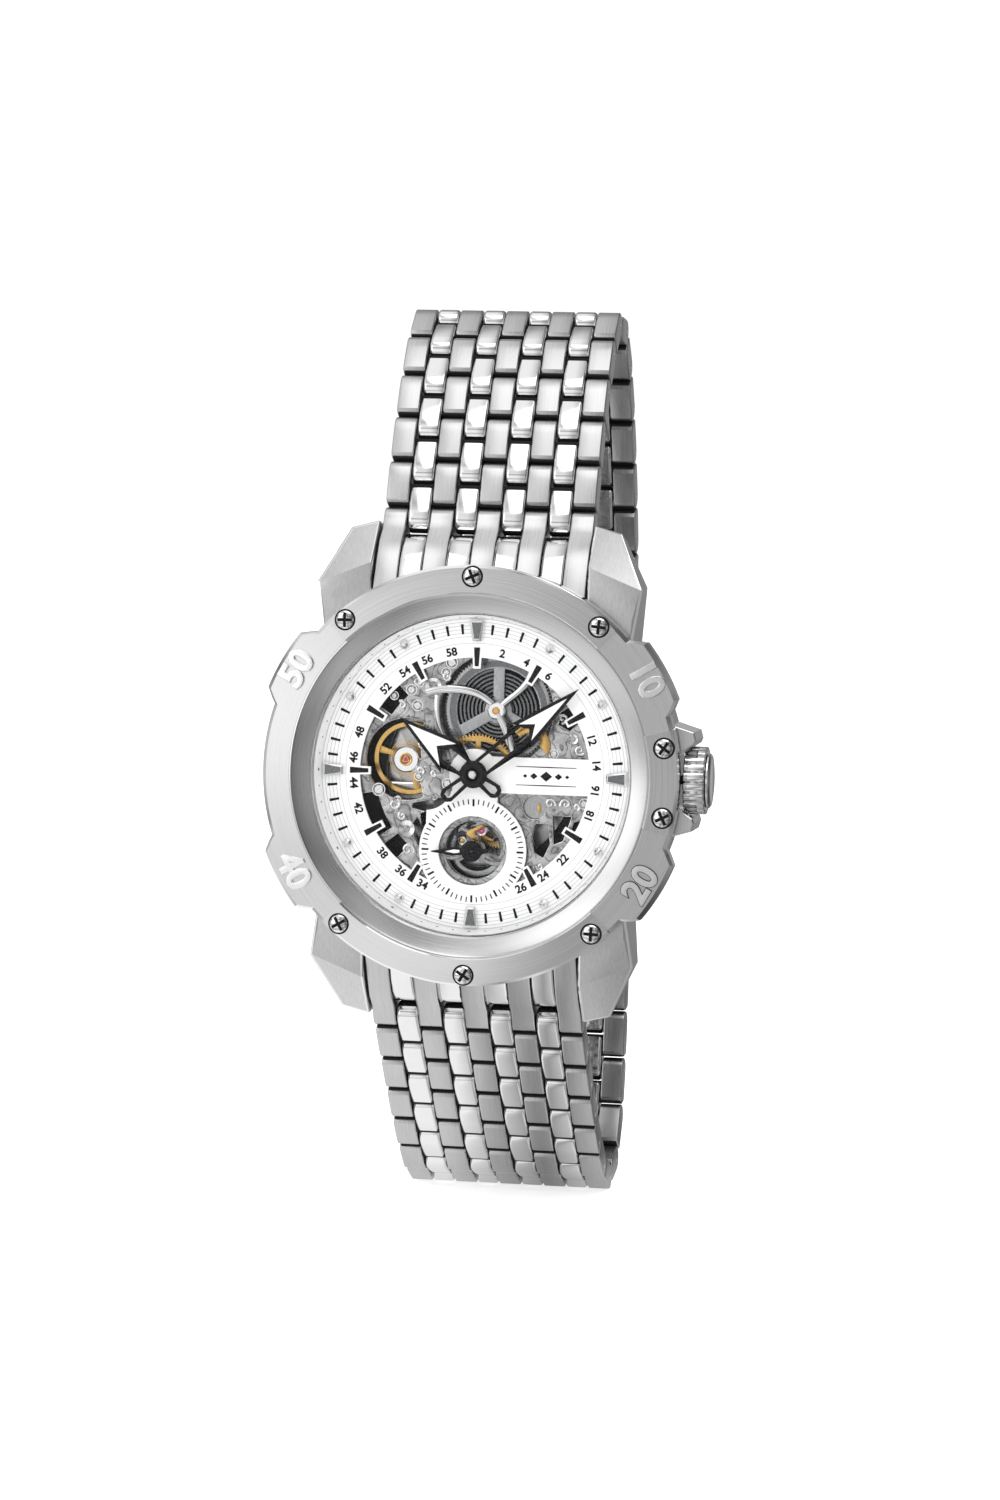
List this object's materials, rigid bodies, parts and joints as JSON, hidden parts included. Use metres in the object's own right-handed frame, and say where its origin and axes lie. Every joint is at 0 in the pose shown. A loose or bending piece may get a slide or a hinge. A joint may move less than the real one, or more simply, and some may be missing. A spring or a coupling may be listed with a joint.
{
  "type": "skeleton wristwatch",
  "caption": "Skeleton dial wristwatch with a screwed sports bezel, steel comb-link bracelet, folding clasp and a self-winding movement seen through the dial.",
  "frame": {"origin": "centre of the case back's outer face, on the axis of the hands", "axes": "dial faces -Y, 12 o'clock is +Z, crown at 3 o'clock is +X"},
  "size_m": [0.0485, 0.0483, 0.1006],
  "materials": {
    "brushed_case": "brushed stainless steel, fine straight grain with polished chamfers",
    "brushed_back": "circular brushed stainless steel",
    "brushed_link": "brushed outer columns and polished inner columns",
    "brushed_clasp": "brushed stainless steel",
    "polished_blade": "polished stainless steel strip",
    "polished_bezel": "polished edges around brushed upper faces",
    "polished_crown": "polished, fluted",
    "sapphire": "clear crystal",
    "white_dial": "white lacquer with fine rings",
    "black_hand": "black lacquered outline with white filling",
    "grey_movement": "rhodium grey plates with engraving and bevels",
    "gilt_brass": "gilt brass, circular grained",
    "spring_steel": "blued grey spring steel",
    "seal_rubber": "black rubber seal"
  },
  "bodies": {
    "root": {"case_middle": "brushed_case", "bezel": "polished_bezel", "crystal": "sapphire", "flange_ring": "white_dial", "dial": "white_dial", "case_back": "brushed_back", "case_back_glass": "sapphire", "barrel_arbor": "gilt_brass", "balance_cock": "grey_movement", "main_plate": "grey_movement", "barrel_bridge": "grey_movement", "train_bridge": "grey_movement", "movement_ring": "grey_movement", "end_link_upper": "brushed_link", "end_link_lower": "brushed_link"},
    "crown_seal": {"crown_gasket": "seal_rubber"},
    "crown": {"crown": "polished_crown", "winding_stem": "spring_steel"},
    "minute": {"cannon_pinion": "spring_steel", "minute_hand": "black_hand"},
    "hour": {"hour_wheel": "gilt_brass", "hour_hand": "black_hand"},
    "barrel": {"barrel": "grey_movement", "mainspring": "spring_steel"},
    "centre": {"centre_wheel": "gilt_brass"},
    "third": {"third_wheel": "gilt_brass"},
    "fourth": {"fourth_wheel": "gilt_brass", "seconds_hand": "black_hand"},
    "escape": {"escape_wheel": "spring_steel"},
    "pallet": {"pallet_fork": "spring_steel"},
    "balance": {"balance_wheel": "gilt_brass", "hairspring": "spring_steel"},
    "rotor": {"rotor": "grey_movement"},
    "inner_blade": {"clasp_inner_blade": "polished_blade"},
    "middle_blade": {"clasp_middle_blade": "polished_blade"},
    "cover": {"clasp_cover": "brushed_clasp"},
    "link_u01": {"link_u01": "brushed_link"},
    "link_u02": {"link_u02": "brushed_link"},
    "link_u03": {"link_u03": "brushed_link"},
    "link_u04": {"link_u04": "brushed_link"},
    "link_u05": {"link_u05": "brushed_link"},
    "link_u06": {"link_u06": "brushed_link"},
    "link_u07": {"link_u07": "brushed_link"},
    "link_u08": {"link_u08": "brushed_link"},
    "link_u09": {"link_u09": "brushed_link"},
    "link_u10": {"link_u10": "brushed_link"},
    "link_u11": {"link_u11": "brushed_link"},
    "link_u12": {"link_u12": "brushed_link"},
    "link_l01": {"link_l01": "brushed_link"},
    "link_l02": {"link_l02": "brushed_link"},
    "link_l03": {"link_l03": "brushed_link"},
    "link_l04": {"link_l04": "brushed_link"},
    "link_l05": {"link_l05": "brushed_link"},
    "link_l06": {"link_l06": "brushed_link"},
    "link_l07": {"link_l07": "brushed_link"},
    "link_l08": {"link_l08": "brushed_link"},
    "link_l09": {"link_l09": "brushed_link"},
    "link_l10": {"link_l10": "brushed_link"},
    "link_l11": {"link_l11": "brushed_link"},
    "link_l12": {"link_l12": "brushed_link"}
  },
  "joints": [
    {"name": "hinge_u01", "type": "hinge", "parent": "root", "child": "link_u01", "pos_m": [0, -0.0024, 0.0272], "axis": [1, 0, 0], "range_deg": [0, 22.7]},
    {"name": "hinge_u02", "type": "hinge", "parent": "link_u01", "child": "link_u02", "pos_m": [0, -0.00028, 0.03228], "axis": [1, 0, 0], "range_deg": [0, 4.4]},
    {"name": "hinge_u03", "type": "hinge", "parent": "link_u02", "child": "link_u03", "pos_m": [0, 0.00222, 0.03717], "axis": [1, 0, 0], "range_deg": [0, 4.6]},
    {"name": "hinge_u04", "type": "hinge", "parent": "link_u03", "child": "link_u04", "pos_m": [0, 0.0051, 0.04186], "axis": [1, 0, 0], "range_deg": [0, 6.1]},
    {"name": "hinge_u05", "type": "hinge", "parent": "link_u04", "child": "link_u05", "pos_m": [0, 0.00847, 0.04621], "axis": [1, 0, 0], "range_deg": [0, 15.6]},
    {"name": "hinge_u06", "type": "hinge", "parent": "link_u05", "child": "link_u06", "pos_m": [0, 0.01288, 0.04949], "axis": [1, 0, 0], "range_deg": [0, 42.9]},
    {"name": "hinge_u07", "type": "hinge", "parent": "link_u06", "child": "link_u07", "pos_m": [0, 0.01835, 0.0489], "axis": [1, 0, 0], "range_deg": [0, 38.8]},
    {"name": "hinge_u08", "type": "hinge", "parent": "link_u07", "child": "link_u08", "pos_m": [0, 0.02224, 0.04501], "axis": [1, 0, 0], "range_deg": [0, 13]},
    {"name": "hinge_u09", "type": "hinge", "parent": "link_u08", "child": "link_u09", "pos_m": [0, 0.02515, 0.04035], "axis": [1, 0, 0], "range_deg": [0, 5.7]},
    {"name": "hinge_u10", "type": "hinge", "parent": "link_u09", "child": "link_u10", "pos_m": [0, 0.0276, 0.03542], "axis": [1, 0, 0], "range_deg": [0, 4.5]},
    {"name": "hinge_u11", "type": "hinge", "parent": "link_u10", "child": "link_u11", "pos_m": [0, 0.02965, 0.03032], "axis": [1, 0, 0], "range_deg": [0, 4.4]},
    {"name": "hinge_u12", "type": "hinge", "parent": "link_u11", "child": "link_u12", "pos_m": [0, 0.0313, 0.02507], "axis": [1, 0, 0], "range_deg": [0, 4.3]},
    {"name": "hinge_l01", "type": "hinge", "parent": "root", "child": "link_l01", "pos_m": [0, -0.0024, -0.0272], "axis": [-1, 0, 0], "range_deg": [0, 42.6]},
    {"name": "hinge_l02", "type": "hinge", "parent": "link_l01", "child": "link_l02", "pos_m": [0, 0.00132, -0.03125], "axis": [-1, 0, 0], "range_deg": [0, 1.2]},
    {"name": "hinge_l03", "type": "hinge", "parent": "link_l02", "child": "link_l03", "pos_m": [0, 0.00513, -0.03522], "axis": [-1, 0, 0], "range_deg": [0, 1.3]},
    {"name": "hinge_l04", "type": "hinge", "parent": "link_l03", "child": "link_l04", "pos_m": [0, 0.00902, -0.0391], "axis": [-1, 0, 0], "range_deg": [0, 2]},
    {"name": "hinge_l05", "type": "hinge", "parent": "link_l04", "child": "link_l05", "pos_m": [0, 0.01305, -0.04284], "axis": [-1, 0, 0], "range_deg": [0, 4.9]},
    {"name": "hinge_l06", "type": "hinge", "parent": "link_l05", "child": "link_l06", "pos_m": [0, 0.01739, -0.04623], "axis": [-1, 0, 0], "range_deg": [0, 15.1]},
    {"name": "hinge_l07", "type": "hinge", "parent": "link_l06", "child": "link_l07", "pos_m": [0, 0.02246, -0.04836], "axis": [-1, 0, 0], "range_deg": [0, 36.7]},
    {"name": "hinge_l08", "type": "hinge", "parent": "link_l07", "child": "link_l08", "pos_m": [0, 0.0278, -0.04705], "axis": [-1, 0, 0], "range_deg": [0, 42.4]},
    {"name": "hinge_l09", "type": "hinge", "parent": "link_l08", "child": "link_l09", "pos_m": [0, 0.03086, -0.04248], "axis": [-1, 0, 0], "range_deg": [0, 21.2]},
    {"name": "hinge_l10", "type": "hinge", "parent": "link_l09", "child": "link_l10", "pos_m": [0, 0.03206, -0.03711], "axis": [-1, 0, 0], "range_deg": [0, 7]},
    {"name": "hinge_l11", "type": "hinge", "parent": "link_l10", "child": "link_l11", "pos_m": [0, 0.0326, -0.03164], "axis": [-1, 0, 0], "range_deg": [0, 2.6]},
    {"name": "hinge_l12", "type": "hinge", "parent": "link_l11", "child": "link_l12", "pos_m": [0, 0.0329, -0.02614], "axis": [-1, 0, 0], "range_deg": [0, 1.5]},
    {"name": "clasp_hinge", "type": "hinge", "parent": "link_l12", "child": "inner_blade", "pos_m": [0, 0.03305, -0.02065], "axis": [-1, 0, 0], "range_deg": [0, 60]},
    {"name": "fold_top", "type": "hinge", "parent": "inner_blade", "child": "middle_blade", "pos_m": [0, 0.03211, 0.01491], "axis": [1, 0, 0], "range_deg": [0, 120]},
    {"name": "fold_bottom", "type": "hinge", "parent": "middle_blade", "child": "cover", "pos_m": [0, 0.03359, -0.01584], "axis": [-1, 0, 0], "range_deg": [0, 115]},
    {"name": "crown_pull", "type": "slide", "parent": "root", "child": "crown_seal", "axis": [1, 0, 0], "range_m": [0, 0.0015]},
    {"name": "crown_turn", "type": "hinge", "parent": "crown_seal", "child": "crown", "pos_m": [0, -0.0066, 0], "axis": [1, 0, 0], "continuous": true},
    {"name": "minute_turn", "type": "hinge", "parent": "root", "child": "minute", "pos_m": [0, -0.006, 0], "axis": [0, 1, 0], "continuous": true},
    {"name": "hour_turn", "type": "hinge", "parent": "root", "child": "hour", "pos_m": [0, -0.006, 0], "axis": [0, 1, 0], "continuous": true},
    {"name": "seconds_turn", "type": "hinge", "parent": "root", "child": "fourth", "pos_m": [0, -0.006, -0.00835], "axis": [0, 1, 0], "continuous": true},
    {"name": "third_turn", "type": "hinge", "parent": "root", "child": "third", "pos_m": [0.0025, -0.006, -0.00445], "axis": [0, 1, 0], "continuous": true},
    {"name": "centre_turn", "type": "hinge", "parent": "root", "child": "centre", "pos_m": [0, -0.006, 0], "axis": [0, 1, 0], "continuous": true},
    {"name": "barrel_turn", "type": "hinge", "parent": "root", "child": "barrel", "pos_m": [0.0021, -0.006, 0.0069], "axis": [0, 1, 0], "continuous": true},
    {"name": "escape_turn", "type": "hinge", "parent": "root", "child": "escape", "pos_m": [-0.0024, -0.006, -0.00535], "axis": [0, 1, 0], "continuous": true},
    {"name": "balance_swing", "type": "hinge", "parent": "root", "child": "balance", "pos_m": [-0.0077, -0.006, 0.0013], "axis": [0, 1, 0], "range_deg": [-220, 220], "stiffness_Nm_per_rad": 0.00000033},
    {"name": "pallet_rock", "type": "hinge", "parent": "root", "child": "pallet", "pos_m": [-0.0045, -0.006, -0.0027], "axis": [0, 1, 0], "range_deg": [-6, 6]},
    {"name": "rotor_turn", "type": "hinge", "parent": "root", "child": "rotor", "pos_m": [0, -0.006, 0], "axis": [0, 1, 0], "continuous": true}
  ],
  "couplings": [
    {"joint": "hour_turn", "follows": "minute_turn", "ratio": 0.083333},
    {"joint": "third_turn", "follows": "seconds_turn", "ratio": -0.13333},
    {"joint": "centre_turn", "follows": "seconds_turn", "ratio": 0.016667},
    {"joint": "barrel_turn", "follows": "seconds_turn", "ratio": -0.0027778},
    {"joint": "escape_turn", "follows": "seconds_turn", "ratio": -7},
    {"joint": "pallet_rock", "follows": "balance_swing", "ratio": 0.027273}
  ]
}
